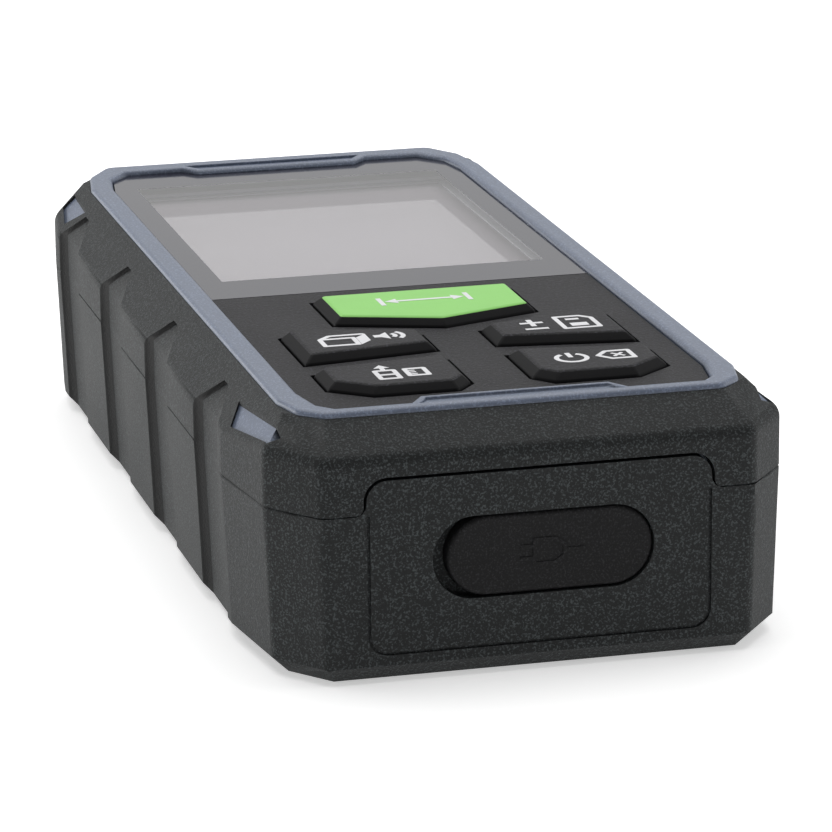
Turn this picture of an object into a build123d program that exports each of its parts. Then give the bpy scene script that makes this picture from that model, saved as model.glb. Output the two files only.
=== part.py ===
from build123d import *
import os
from math import cos, radians, sin, tan

os.makedirs("parts", exist_ok=True)

# A pocket laser distance meter, lying on its back. Millimetres. +X is to the right seen from the charging
# end, +Y runs from the charging end to the laser end, +Z is up. The origin is under the middle of the case.

# ---------------------------------------------------------------- the case's outer form
LENGTH = 119.0
WIDTH = 54.4
FACE_Z = 24.95  # the lens and the keypad plate
PARTING_Z = 16.6  # where the two halves of the case meet
END_Y = LENGTH / 2
SIDE_X = WIDTH / 2
EDGE_DRAFTS = [0.35, 0.6, 0.7, 0.6, 0.35]  # how far the lower half draws in at its base, edge by edge
BASE_CHAMFER = 1.7
RIDGE_ROUND = 1.6  # along the case's outer ridges
RIM = 0.15  # the small chamfer along the parting line and at the grip notches' lips
CASE_PLAN = [  # right half of the case's outline, from the charging end to the laser end
    (21.3, -END_Y),
    (25.7, -53.9),
    (SIDE_X, -42.0),
    (SIDE_X, 46.3),
    (26.5, 51.1),
    (20.2, END_Y),
]
# The sloping edges round the face: where each leaves its wall, and its steepness in degrees
SIDE_SLOPE = ((27.05, 20.95), 45)
NEAR_SLOPE = (22.15, 29)
FAR_SLOPE = (21.9, 55)
NEAR_CORNER_STEEPNESS, FAR_CORNER_STEEPNESS = 34, 53

# ---------------------------------------------------------------- walls
ARMOUR = 2.0  # the soft outer layer of the upper half
WALL = 3.4  # the case's whole wall
FLOOR = 2.0
DECK_LOW, DECK_TOP = 21.85, 23.35  # the frame's deck, under the lens and the keypad plate
SEAL_WIDTH, SEAL_HEIGHT = 0.8, 0.6
SEAL_INSET = 2.2

# ---------------------------------------------------------------- the raised ring round the face
RING_Z = 25.5
RING_ROUND = 0.5
RING_OUTER = [(19.8, -54.4), (22.0, -52.2), (22.95, -48.0), (22.95, 46.5), (22.0, 52.4), (19.3, 56.9)]
RING_INNER = [
    (9.3, -50.5),
    (10.9, -52.95),
    (17.8, -52.95),
    (19.6, -51.0),
    (20.45, -46.0),
    (20.45, 46.0),
    (19.7, 50.8),
    (17.2, 53.85),
    (10.9, 53.85),
    (9.3, 52.0),
]
RING_CORNER_ROUND = 1.6
TAB_GROOVE = [(9.0, 1.8), (10.2, 0.0)]  # the long recess in each end's tab: half widths and distance in
TAB_GROOVE_DEEP = 0.3
NEAR_GROOVE_Y = -53.1
FAR_GROOVE_Y = 54.8

# ---------------------------------------------------------------- lens and display
FIT_GAP = 0.18
LENS_NEAR_Y = -6.3
LENS_THICK = 1.2
DISPLAY_HALF = 18.3
DISPLAY_Y = (0.0, 47.6)
DISPLAY_TOP = 23.2
HOLDER_WALL = 1.0
HOLDER_LOW = 20.4
BACKLIGHT_LOW, BACKLIGHT_TOP = 20.7, 21.5

# ---------------------------------------------------------------- keys
KEY_TOP = 25.95
KEY_STEP = 25.05  # where a key's sides begin to slope in
KEY_SLOPE = 47  # degrees from upright
KEY_FOOT = (20.7, 21.7)
KEY_FOOT_LIP = 0.5
KEY_SLOT = 0.3
MEASURE_KEY = [(-10.6, -10.8), (-10.6, -20.6), (0, -24.3), (10.6, -20.6), (10.6, -10.8)]
UPPER_KEY = [(3.1, -33.0), (17.0, -35.0), (17.0, -24.0), (15.6, -23.3), (3.1, -26.7)]
LOWER_KEY = [(4.9, -48.0), (13.2, -48.0), (17.1, -44.8), (17.1, -38.8), (3.1, -36.8), (3.1, -45.8)]
KEY_CENTRES = {
    "measure_key": (0.0, -17.0),
    "memory_key": (10.2, -29.4),
    "volume_key": (-10.2, -29.4),
    "power_key": (10.0, -42.4),
    "unit_key": (-10.0, -42.4),
}

# ---------------------------------------------------------------- charging end
PANEL_HALF, PANEL_LOW, PANEL_TOP = 17.0, 2.7, 19.95
PANEL_ROUND, PANEL_FLARE = 2.0, 1.2
PANEL_GAP = 0.3
PANEL_THICK = 1.9
PORT_X, PORT_Z = 1.0, 11.72
COVER_WIDTH, COVER_HEIGHT, COVER_THICK = 20.3, 7.95, 2.0
COVER_GAP = 0.12
THUMB_NOTCH = 1.5  # extra room left of the cover, for a fingernail
PLUG_SIZE = (7.6, 2.0)
PLUG_REACH = 3.9
SOCKET_SIZE = (8.94, 7.3, 3.26)
SOCKET_WALL = 0.3
SOCKET_FRONT_Y = -56.4
TETHER_SIZE = (2.0, 3.0)
TETHER_X = 9.6

# ---------------------------------------------------------------- grip notches along each side
NOTCH_FIRST_Y, NOTCH_PITCH, NOTCHES = -29.3, 24.53, 4
NOTCH_DEEP = 0.8
NOTCH_STEP, NOTCH_FLOOR_END, NOTCH_END = 1.0, 7.5, 11.5
NOTCH_BEND_Z, NOTCH_TOP_Z = 20.95, 23.4
NOTCH_LEAN = 2.9
NOTCH_TOP_LENGTH = 2.1
BEYOND = 3.0  # how far a cutting block reaches past the surface

# ---------------------------------------------------------------- corner windows in the armour
NEAR_WINDOW = [(24.75, -39.6), (26.35, -42.8), (25.15, -53.4), (23.75, -53.9)]
FAR_WINDOW = [(24.1, 50.7), (25.5, 50.9), (26.3, 45.8), (24.3, 42.6)]
WINDOW_SUNK = 0.3

# ---------------------------------------------------------------- inside
BOARD_HALF, BOARD_Y, BOARD_LOW, BOARD_TOP = 17.2, (-52.0, 13.5), 16.4, 17.6
MAT_TOP, MAT_SKIN, MAT_Y = 19.8, 0.4, (-50.5, -9.5)
SWITCH_SIZE, SWITCH_TOP, PLUNGER_TOP = 4.5, 18.8, 19.2
BATTERY_SIZE, BATTERY_Y = (34.0, 50.0, 6.0), -15.0
PAD_THICK = 0.3
CHARGE_BOARD = (24.0, 13.0, 1.0)
CASE_SCREWS = [(x, y) for x in (-20.4, 20.4) for y in (-46.5, 51.6)]
BOSS_R, POST_R = 3.2, 2.6
SCREW_R, SCREW_HEAD_R, SCREW_HEAD = 1.0, 2.1, 1.6
SCREW_SEAT = 2.4
BOARD_SCREWS = [(0.0, -47.0), (0.0, -30.5), (-15.4, -6.9), (15.4, -6.9)]
BOARD_POST_R = 1.6

# ---------------------------------------------------------------- optics
OPTIC_Z = 12.1
RECEIVER_X, LASER_X = 5.2, -10.6
CHASSIS_HALF, CHASSIS_Y, CHASSIS_Z = 17.2, (16.0, 55.9), (4.3, 20.0)
LENS_R, LENS_EDGE, LENS_BULGE, LENS_Y = 7.0, 1.6, 2.2, 50.0
RETAINER_R, RETAINER_THICK = 7.5, 1.0
BARREL_R, BARREL_Y = 4.0, (28.0, 52.0)
DIODE_R, DIODE_LENGTH = 2.8, 4.0
COLLIMATOR_R, COLLIMATOR_THICK = 2.5, 1.5
RECEIVER_BOARD_Y = (14.4, 15.6)
SENSOR_R, SENSOR_LENGTH = 2.7, 3.6
CHASSIS_SCREWS = [(x, y) for x in (-15.2, 15.2) for y in (18.8, 53.0)]
CHASSIS_SEAT_Z = 7.0
FRONT_HALF, FRONT_Z, FRONT_DEEP, FRONT_THICK = 15.6, (4.6, 18.9), 1.6, 1.2
FRONT_ROUND = 2.0
EMITTER_R, APERTURE_R = 3.2, 6.6

# ---------------------------------------------------------------- label
LABEL_SIZE, LABEL_Y, LABEL_DEEP, LABEL_THICK = (34.0, 44.0), -6.0, 0.3, 0.2


# ================================================================ helpers
def both_halves(half):
    """A closed outline from its right half: the same points, then their mirror images in reverse."""
    return half + [(-x, y) for x, y in reversed(half)]


def inset(points, distance):
    """The closed anticlockwise outline moved inwards, its corners kept sharp: one distance, or one for each edge."""
    count = len(points)
    distances = distance if isinstance(distance, list) else [distance] * count
    moved = []
    for i, (x, y) in enumerate(points):
        before, here, after = Vector(*points[i - 1]), Vector(x, y), Vector(*points[(i + 1) % count])
        arrive, leave = (here - before).normalized(), (after - here).normalized()
        turn = arrive.X * leave.Y - arrive.Y * leave.X
        moved.append(here + (leave * distances[i - 1] - arrive * distances[i]) / turn)
    return moved


def face_of(points):
    """The flat face inside a closed outline."""
    return make_face(Polyline(*points, close=True))


def raised(face, low, high):
    """A flat face in the XY plane, extruded between two heights."""
    return extrude(Pos(0, 0, low) * face, high - low)


def block(x, y, z):
    """A box between three pairs of limits."""
    size = [high - low for low, high in (x, y, z)]
    return Pos(*[(low + high) / 2 for low, high in (x, y, z)]) * Box(*size)


def rod(x, y, radius, low, high):
    """An upright cylinder."""
    return Pos(x, y, (low + high) / 2) * Cylinder(radius, high - low)


def along_y(x, z, radius, near, far):
    """A cylinder that lies along Y."""
    return Pos(x, (near + far) / 2, z) * Rot(90, 0, 0) * Cylinder(radius, far - near)


def end_wall(face, near, far):
    """A face drawn as seen from the charging end, X across and Z up, extruded between two Y positions."""
    return extrude(Plane((0, far, 0), x_dir=(1, 0, 0), z_dir=(0, -1, 0)) * face, far - near)


def rounded(face, radius):
    """A face with all its corners rounded."""
    return fillet(face.vertices(), radius)


def leaning(wall, up, steepness):
    """The outward direction of a slope, between its wall's direction and up."""
    return wall * sin(radians(steepness)) + up * cos(radians(steepness))


def corner_slope(first, second, steepness):
    """A corner's slope, through its two feet: a point on it and its outward direction."""
    along = (second - first).normalized()
    wall = Vector(along.Y, -along.X, 0).normalized()
    return first, leaning(wall, wall.cross(along), steepness)


def slopes():
    """Every slope round the face, each as a point on it and its outward direction."""
    up = Vector(0, 0, 1)
    (side_x, side_z), side_steepness = SIDE_SLOPE
    (near_z, near_steepness), (far_z, far_steepness) = NEAR_SLOPE, FAR_SLOPE
    feet = [Vector(x, y, side_z + (side_x - x) * tan(radians(side_steepness))) for x, y in CASE_PLAN]
    near_foot, far_foot = Vector(*CASE_PLAN[0], near_z), Vector(*CASE_PLAN[-1], far_z)
    right = [
        (Vector(side_x, 0, side_z), leaning(Vector(1, 0, 0), up, side_steepness)),
        corner_slope(near_foot, feet[1], NEAR_CORNER_STEEPNESS),
        corner_slope(feet[-2], far_foot, FAR_CORNER_STEEPNESS),
    ]
    left = [(Vector(-p.X, p.Y, p.Z), Vector(-out.X, out.Y, out.Z)) for p, out in right]
    near = (near_foot, leaning(Vector(0, -1, 0), up, near_steepness))
    far = (far_foot, leaning(Vector(0, 1, 0), up, far_steepness))
    return right + left + [near, far]


def case_form(inwards, low, high):
    """The case's outer form between two heights, moved inwards, cut by the sloping edges round its face."""
    form = raised(face_of(inset(both_halves(CASE_PLAN), inwards)), low, high)
    for point, out in slopes():
        form = split(form, Plane(point - out * inwards, z_dir=out), keep=Keep.BOTTOM)
    return form


def rounded_form():
    """The upper half's outer form, its ridges rounded and its foot chamfered at the parting line."""
    form = case_form(0, PARTING_Z, FACE_Z)
    levels = form.edges().group_by(Axis.Z)
    ridges = [edge for edge in form.edges() if edge not in levels[0] + levels[-1]]
    form = fillet(ridges, RIDGE_ROUND)
    return chamfer(form.edges().group_by(Axis.Z)[0], RIM)


def face_outline(distance=0.0):
    """The outline inside the raised ring, moved inwards."""
    return inset(both_halves(RING_INNER), distance)


def ring_outline():
    """The raised ring's outer outline, rounded at its corners."""
    return rounded(face_of(both_halves(RING_OUTER)), RING_CORNER_ROUND)


def panel_profile(gap=0.0):
    """The charging end's panel and the lower half beside it, as seen from that end."""
    half = PANEL_HALF + gap
    top = PANEL_TOP + gap
    points = [(half, PARTING_Z), (half, top)]
    outer = [(SIDE_X + BEYOND, 0), (SIDE_X + BEYOND, PARTING_Z)]
    profile = face_of(both_halves(outer + points))
    corners = profile.vertices().filter_by(lambda v: abs(abs(v.X) - half) < 0.01)
    profile = fillet(corners.group_by(Axis.Y)[-1], PANEL_ROUND + gap)
    corners = profile.vertices().filter_by(lambda v: abs(abs(v.X) - half) < 0.01 and abs(v.Y - PARTING_Z) < 0.01)
    return fillet(corners, PANEL_FLARE - gap)


def notch_section(z, surface, lip, length, depth):
    """A notch's section at one height: a step in at the lip, a floor, and a ramp back out."""
    reach = length / NOTCH_END
    out = SIDE_X + BEYOND
    points = [
        (out, lip + RIM),
        (surface, lip + RIM),
        (surface - RIM, lip),
        (surface - depth, lip - NOTCH_STEP * (0.3 + 0.7 * reach)),
        (surface - depth, lip - NOTCH_FLOOR_END * reach),
        (surface, lip - length),
        (out, lip - length),
    ]
    return Pos(0, 0, z) * face_of(points)


def grip_notch(lip):
    """The block that cuts one grip notch in the right side: upright below, leaning and narrowing on the slope."""
    foot = notch_section(0, SIDE_X - max(EDGE_DRAFTS), lip, NOTCH_END, NOTCH_DEEP)
    waist = notch_section(PARTING_Z, SIDE_X, lip, NOTCH_END, NOTCH_DEEP)
    bend = notch_section(NOTCH_BEND_Z, SIDE_X, lip, NOTCH_END, NOTCH_DEEP)
    narrow = SIDE_X - (NOTCH_TOP_Z - NOTCH_BEND_Z)
    tip = notch_section(NOTCH_TOP_Z, narrow, lip - NOTCH_LEAN, NOTCH_TOP_LENGTH, NOTCH_DEEP)
    sections = [foot, waist, bend, tip]
    parts = [loft([low, high], ruled=True) for low, high in zip(sections, sections[1:])]
    return parts[0] + parts[1] + parts[2]


def grip_notches():
    """All the notches' cutting blocks, on both sides."""
    right = [grip_notch(NOTCH_FIRST_Y + i * NOTCH_PITCH) for i in range(NOTCHES)]
    return right + [mirror(notch, about=Plane.YZ) for notch in right]


def window_blocks(corners):
    """The upright columns through one pair of corner windows."""
    right = raised(face_of(corners), PARTING_Z + ARMOUR, FACE_Z)
    return [right, mirror(right, about=Plane.YZ)]


def all_windows():
    """The columns through the four corner windows."""
    return window_blocks(NEAR_WINDOW) + window_blocks(FAR_WINDOW)


def stadium(width, height):
    """A face with round ends, centred."""
    return SlotOverall(width, height)


# ================================================================ case
def lower_shell():
    """The lower half: walls that draw in a little, an end panel that rises at each end, bosses and pockets."""
    outline = both_halves(CASE_PLAN)
    base = face_of(inset(outline, EDGE_DRAFTS + [0] + EDGE_DRAFTS[::-1] + [0]))
    shell = loft([base, Pos(0, 0, PARTING_Z) * face_of(outline)], ruled=True)
    shell = chamfer(shell.faces().sort_by(Axis.Z)[0].edges(), BASE_CHAMFER)
    shell = fillet(shell.edges().filter_by(lambda edge: abs(edge.tangent_at(0.5).Z) > 0.9), RIDGE_ROUND)
    shell = chamfer(shell.edges().group_by(Axis.Z)[-1], RIM)
    shell -= raised(face_of(inset(both_halves(CASE_PLAN), WALL)), FLOOR, PARTING_Z)
    for side in (-1, 1):
        near, far = sorted((side * END_Y, side * (END_Y - PANEL_THICK)))
        tongue = end_wall(panel_profile(), near, far)
        shell += tongue & block((-SIDE_X, SIDE_X), (near, far), (PARTING_Z - 1, PANEL_TOP)) & case_form(
            0, PARTING_Z - 1, FACE_Z
        )
    for x, y in CASE_SCREWS:
        shell += rod(x, y, BOSS_R, FLOOR, PARTING_Z)
        shell -= rod(x, y, SCREW_R + 0.2, 0, PARTING_Z) + rod(x, y, SCREW_HEAD_R + 0.2, 0, SCREW_SEAT)
    shell -= case_seal()
    for x, y in CHASSIS_SCREWS:
        shell += rod(x, y, 2.4, FLOOR, CHASSIS_Z[0])
        shell -= rod(x, y, SCREW_R, 1.2, CHASSIS_Z[0])
    for x in (-9.0, 11.0):
        shell += rod(x, SOCKET_FRONT_Y + 10.0, 1.5, FLOOR, PORT_Z - SOCKET_SIZE[2] / 2 - CHARGE_BOARD[2])
    for notch in grip_notches():
        shell -= notch
    return shell - panel_groove() - port_recess() - front_pocket() - label_recess()


def panel_groove():
    """The shallow line that carries the end panel's outline on below the parting line."""
    middle = (PANEL_LOW + PARTING_Z + BEYOND) / 2
    height = PARTING_Z + BEYOND - PANEL_LOW
    outer = Pos(0, middle) * Rectangle(2 * PANEL_HALF, height)
    outer = fillet(outer.vertices().group_by(Axis.Y)[0], PANEL_ROUND)
    inner = Pos(0, middle) * Rectangle(2 * (PANEL_HALF - PANEL_GAP), height)
    inner = Pos(0, PANEL_GAP) * fillet(inner.vertices().group_by(Axis.Y)[0], PANEL_ROUND - PANEL_GAP)
    line = end_wall(outer - inner, -END_Y - 1, -END_Y + 0.25)
    return line & block((-SIDE_X, SIDE_X), (-END_Y - 1, -END_Y + 1), (0, PARTING_Z))


def port_recess():
    """The pocket for the port cover, its fingernail notch, the socket's way in and the tether's slot."""
    seat = Pos(PORT_X, PORT_Z) * stadium(COVER_WIDTH + 2 * COVER_GAP, COVER_HEIGHT + 2 * COVER_GAP)
    nail = Pos(PORT_X - THUMB_NOTCH, PORT_Z) * stadium(COVER_WIDTH, COVER_HEIGHT + 2 * COVER_GAP)
    recess = end_wall(seat, -END_Y - 1, -END_Y + COVER_THICK)
    recess += end_wall(nail, -END_Y - 1, -END_Y + COVER_THICK - 0.4)
    way_in = Pos(PORT_X, PORT_Z) * stadium(11.0, 4.6)
    recess += end_wall(way_in, -END_Y, -END_Y + WALL + 1)
    slot_half = TETHER_SIZE[0] / 2 + 0.1
    recess += block(
        (TETHER_X - slot_half, TETHER_X + slot_half),
        (-END_Y + 1, -END_Y + WALL + 1),
        (PORT_Z - TETHER_SIZE[1] / 2 - 0.1, PORT_Z + TETHER_SIZE[1] / 2 + 0.1),
    )
    return recess


def front_pocket():
    """The pocket for the front panel at the laser end, and the two beams' holes behind it."""
    middle = sum(FRONT_Z) / 2
    seat = Pos(0, middle) * RectangleRounded(2 * FRONT_HALF + 0.2, FRONT_Z[1] - FRONT_Z[0] + 0.2, FRONT_ROUND)
    pocket = end_wall(seat, END_Y - FRONT_DEEP, END_Y + 1)
    pocket += along_y(LASER_X, OPTIC_Z, EMITTER_R + 0.6, END_Y - WALL - 1, END_Y)
    return pocket + along_y(RECEIVER_X, OPTIC_Z, APERTURE_R, END_Y - WALL - 1, END_Y)


def label_recess():
    """The shallow recess for the label under the case."""
    return raised(Pos(0, LABEL_Y) * RectangleRounded(*LABEL_SIZE, 2.0), -1, LABEL_DEEP)


def case_seal():
    """The soft seal that lies in the groove between the two halves."""
    outline = both_halves(CASE_PLAN)
    band = face_of(inset(outline, SEAL_INSET)) - face_of(inset(outline, SEAL_INSET + SEAL_WIDTH))
    return raised(band, PARTING_Z - SEAL_HEIGHT, PARTING_Z)


def top_armour():
    """The soft armour of the upper half, with the grip notches, the corner windows and the ring's opening."""
    armour = rounded_form() - case_form(ARMOUR, PARTING_Z, DECK_TOP)
    armour -= raised(ring_outline(), PARTING_Z, FACE_Z)
    for notch in grip_notches():
        armour -= notch
    for column in all_windows():
        armour -= column
    for near in (-END_Y - 1, END_Y - ARMOUR):
        armour -= end_wall(panel_profile(PANEL_GAP), near, near + ARMOUR + 1)
    return armour


def top_frame():
    """The hard frame inside the armour: its walls, deck and raised ring, and the lobes in the corner windows."""
    frame = case_form(ARMOUR, PARTING_Z, DECK_TOP) + raised(ring_outline(), DECK_LOW, RING_Z)
    frame = fillet(frame.edges().group_by(Axis.Z)[-1], RING_ROUND)
    lobes = case_form(WINDOW_SUNK, PARTING_Z, FACE_Z)
    for column in all_windows():
        frame += column & lobes
    frame -= raised(face_of(inset(both_halves(CASE_PLAN), WALL)), PARTING_Z, DECK_LOW)
    frame += raised(face_of(inset(both_halves(CASE_PLAN), WALL)), DECK_LOW, DECK_TOP) & case_form(
        ARMOUR, DECK_LOW, DECK_TOP
    )
    frame -= raised(face_of(face_outline()), DECK_TOP, RING_Z + 1)
    display_way = HOLDER_WALL + DISPLAY_HALF + 0.1
    frame -= block(
        (-display_way, display_way),
        (DISPLAY_Y[0] - HOLDER_WALL - 0.1, DISPLAY_Y[1] + HOLDER_WALL + 0.1),
        (DECK_LOW, DECK_TOP),
    )
    for key in key_plans().values():
        frame -= raised(face_of(inset(key, -KEY_SLOT)), DECK_LOW, DECK_TOP)
    for x, y in CASE_SCREWS:
        frame += rod(x, y, POST_R, PARTING_Z, DECK_LOW)
        frame -= rod(x, y, SCREW_R, PARTING_Z, DECK_LOW - 0.8)
    for x, y in BOARD_SCREWS:
        frame += rod(x, y, BOARD_POST_R, BOARD_TOP, DECK_LOW)
        frame -= rod(x, y, SCREW_R * 0.8, BOARD_TOP, DECK_LOW - 0.8)
    return frame - tab_grooves()


def tab_grooves():
    """The long shallow recesses in the tabs at the two ends of the ring."""
    (narrow, deep), (wide, start) = TAB_GROOVE
    near = [(wide, NEAR_GROOVE_Y + start), (narrow, NEAR_GROOVE_Y + deep)]
    far = [(narrow, FAR_GROOVE_Y - deep), (wide, FAR_GROOVE_Y - start)]
    grooves = raised(face_of(both_halves(near)), RING_Z - TAB_GROOVE_DEEP, RING_Z + 1)
    return grooves + raised(face_of(both_halves(far)), RING_Z - TAB_GROOVE_DEEP, RING_Z + 1)


# ================================================================ face
def key_plans():
    """Each key's outline at its foot."""
    left_upper = [(-x, y) for x, y in reversed(UPPER_KEY)]
    left_lower = [(-x, y) for x, y in reversed(LOWER_KEY)]
    return {
        "measure_key": MEASURE_KEY,
        "memory_key": UPPER_KEY,
        "volume_key": left_upper,
        "power_key": LOWER_KEY,
        "unit_key": left_lower,
    }


def key(plan):
    """A key: a wide foot that keeps it in, an upright shaft, and a top with sloping sides."""
    shaft = raised(face_of(plan), KEY_FOOT[0], KEY_STEP)
    cap = extrude(Pos(0, 0, KEY_STEP) * face_of(plan), KEY_TOP - KEY_STEP, taper=KEY_SLOPE)
    foot = raised(face_of(inset(plan, -KEY_FOOT_LIP)), *KEY_FOOT)
    return shaft + cap + foot


def display_lens():
    """The lens over the display, from the keypad plate to the laser end."""
    area = face_of(face_outline(FIT_GAP)) & Pos(0, LENS_NEAR_Y + END_Y) * Rectangle(WIDTH, LENGTH)
    return raised(area, FACE_Z - LENS_THICK, FACE_Z)


def lens_gasket():
    """The foam gasket under the lens."""
    area = face_of(face_outline(2 * FIT_GAP)) & Pos(0, LENS_NEAR_Y + END_Y) * Rectangle(WIDTH, LENGTH)
    low, high = DISPLAY_Y
    half = DISPLAY_HALF + HOLDER_WALL - 0.1
    hole = Pos(0, (low + high) / 2) * Rectangle(2 * half, high - low + 2 * HOLDER_WALL)
    return raised(area - hole, DECK_TOP, FACE_Z - LENS_THICK)


def keypad_plate():
    """The plate round the keys, flush with the lens."""
    area = face_of(face_outline(FIT_GAP)) & Pos(0, LENS_NEAR_Y - FIT_GAP - END_Y) * Rectangle(WIDTH, LENGTH)
    for plan in key_plans().values():
        area -= face_of(inset(plan, -KEY_SLOT))
    return raised(area, DECK_TOP, FACE_Z)


def display_panel():
    """The liquid crystal display's glass."""
    return block((-DISPLAY_HALF, DISPLAY_HALF), DISPLAY_Y, (BACKLIGHT_TOP, DISPLAY_TOP))


def backlight():
    """The light guide under the display."""
    return block((-DISPLAY_HALF, DISPLAY_HALF), DISPLAY_Y, (BACKLIGHT_LOW, BACKLIGHT_TOP))


def display_holder():
    """The light tray that holds the display and its backlight."""
    half = DISPLAY_HALF + HOLDER_WALL
    near, far = DISPLAY_Y
    tray = block((-half, half), (near - HOLDER_WALL, far + HOLDER_WALL), (HOLDER_LOW, DISPLAY_TOP + 0.1))
    return tray - block((-DISPLAY_HALF, DISPLAY_HALF), DISPLAY_Y, (BACKLIGHT_LOW, FACE_Z))


def display_flex():
    """The flat cable from the display down to the main board."""
    y = DISPLAY_Y[0] - HOLDER_WALL - 0.7
    down = block((-9, 9), (y, y + 0.2), (BOARD_TOP, HOLDER_LOW))
    return down + block((-9, 9), (y, DISPLAY_Y[0] + 3), (HOLDER_LOW - 0.2, HOLDER_LOW))


# ================================================================ keypad and boards
def key_mat():
    """The silicone mat: a skirt on the board, a skin, and a dome under each key."""
    half = BOARD_HALF - 0.2
    mat = block((-half, half), MAT_Y, (BOARD_TOP, MAT_TOP))
    mat -= block((1 - half, half - 1), (MAT_Y[0] + 1, MAT_Y[1] - 1), (BOARD_TOP, MAT_TOP - MAT_SKIN))
    for x, y in KEY_CENTRES.values():
        mat += rod(x, y, 2.0, MAT_TOP, MAT_TOP + 0.25)
    for x, y in BOARD_SCREWS[:2]:
        mat -= rod(x, y, BOARD_POST_R + 0.2, BOARD_TOP, MAT_TOP)
    return mat


def tact_switches():
    """The switch under each key's dome."""
    switches = []
    for x, y in KEY_CENTRES.values():
        half = SWITCH_SIZE / 2
        body = block((x - half, x + half), (y - half, y + half), (BOARD_TOP, SWITCH_TOP))
        switches.append(body + rod(x, y, 1.0, SWITCH_TOP, PLUNGER_TOP))
    return Compound(children=switches)


def main_board():
    """The main circuit board, hung from the frame's posts."""
    board = block((-BOARD_HALF, BOARD_HALF), BOARD_Y, (BOARD_LOW, BOARD_TOP))
    for x, y in BOARD_SCREWS:
        board -= rod(x, y, SCREW_R, BOARD_LOW, BOARD_TOP)
    return board


def board_chips():
    """The processor, its shield and the memory on the main board."""
    shield = block((-8, 8), (0, 12), (BOARD_TOP, BOARD_TOP + 1.8))
    memory = block((10, 15), (3, 9), (BOARD_TOP, BOARD_TOP + 1.0))
    socket = block((-10, 10), (-5.6, -3.0), (BOARD_TOP, BOARD_TOP + 1.2))
    return Compound(children=[shield, memory, socket])


def buzzer():
    """The sounder under the main board."""
    return rod(11, -36, 4.5, BOARD_LOW - 3.0, BOARD_LOW)


def battery():
    """The rechargeable cell, with softly rounded edges."""
    width, length, height = BATTERY_SIZE
    low = FLOOR + PAD_THICK
    cell = Pos(0, BATTERY_Y, low + height / 2) * Box(width, length, height)
    return fillet(cell.edges().filter_by(Axis.Y), 2.0)


def battery_pad():
    """The foam pad that the cell is stuck down on."""
    width, length, _ = BATTERY_SIZE
    return Pos(0, BATTERY_Y, FLOOR + PAD_THICK / 2) * Box(width - 6, length - 6, PAD_THICK)


def battery_lead_socket():
    """The small socket under the main board that the cell's lead goes to."""
    return block((-14, -8), (-14, -10), (BOARD_LOW - 3.2, BOARD_LOW))


def charge_board():
    """The small board that carries the charging socket."""
    width, length, thick = CHARGE_BOARD
    top = PORT_Z - SOCKET_SIZE[2] / 2
    near = SOCKET_FRONT_Y + 0.6
    return block((PORT_X - width / 2, PORT_X + width / 2), (near, near + length), (top - thick, top))


def usb_socket():
    """The charging socket: a folded metal shell round a thin tongue."""
    width, length, height = SOCKET_SIZE
    outer = Pos(PORT_X, PORT_Z) * stadium(width, height)
    inner = Pos(PORT_X, PORT_Z) * stadium(width - 2 * SOCKET_WALL, height - 2 * SOCKET_WALL)
    back = SOCKET_FRONT_Y + length
    shell = end_wall(outer, SOCKET_FRONT_Y, back) - end_wall(inner, SOCKET_FRONT_Y, back - 1)
    tongue = block((PORT_X - 3.3, PORT_X + 3.3), (SOCKET_FRONT_Y + 1.6, back), (PORT_Z - 0.35, PORT_Z + 0.35))
    return shell + tongue


def port_cover():
    """The rubber cover in the end panel, with a plug that enters the socket's mouth."""
    plate = end_wall(Pos(PORT_X, PORT_Z) * stadium(COVER_WIDTH, COVER_HEIGHT), -END_Y, -END_Y + COVER_THICK)
    plug = end_wall(Pos(PORT_X, PORT_Z) * stadium(*PLUG_SIZE), -END_Y + COVER_THICK, -END_Y + PLUG_REACH)
    return plate + plug


def port_tether():
    """The strap that keeps the cover on the case, and its anchor inside the wall."""
    wide, tall = TETHER_SIZE
    front = -END_Y + COVER_THICK + 0.1
    inside = -END_Y + WALL + 0.1
    strap = block(
        (TETHER_X - wide / 2, TETHER_X + wide / 2), (front, inside), (PORT_Z - tall / 2, PORT_Z + tall / 2)
    )
    return strap + block((TETHER_X - 1.5, TETHER_X + 1.5), (inside, inside + 1.2), (PORT_Z - 1.4, PORT_Z + 3.2))


# ================================================================ optics
def optics_chassis():
    """The block that holds the two beams apart: a laser bore, a tapering receiver bore and screw holes."""
    chassis = block((-CHASSIS_HALF, CHASSIS_HALF), CHASSIS_Y, CHASSIS_Z)
    near, far = CHASSIS_Y
    chassis -= along_y(LASER_X, OPTIC_Z, BARREL_R + 0.05, near, far)
    chassis -= along_y(RECEIVER_X, OPTIC_Z, LENS_R + 0.05, LENS_Y, far)
    chassis -= along_y(RECEIVER_X, OPTIC_Z, RETAINER_R + 0.05, LENS_Y + LENS_EDGE, far)
    length = LENS_Y - near
    cone = Pos(RECEIVER_X, near + length / 2, OPTIC_Z) * Rot(-90, 0, 0) * Cone(3.0, LENS_R - 0.7, length)
    chassis -= cone
    for x, y in CHASSIS_SCREWS:
        chassis -= rod(x, y, SCREW_R + 0.1, CHASSIS_Z[0], CHASSIS_SEAT_Z)
        chassis -= rod(x, y, 1.9, CHASSIS_SEAT_Z, CHASSIS_Z[1])
    return chassis


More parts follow.
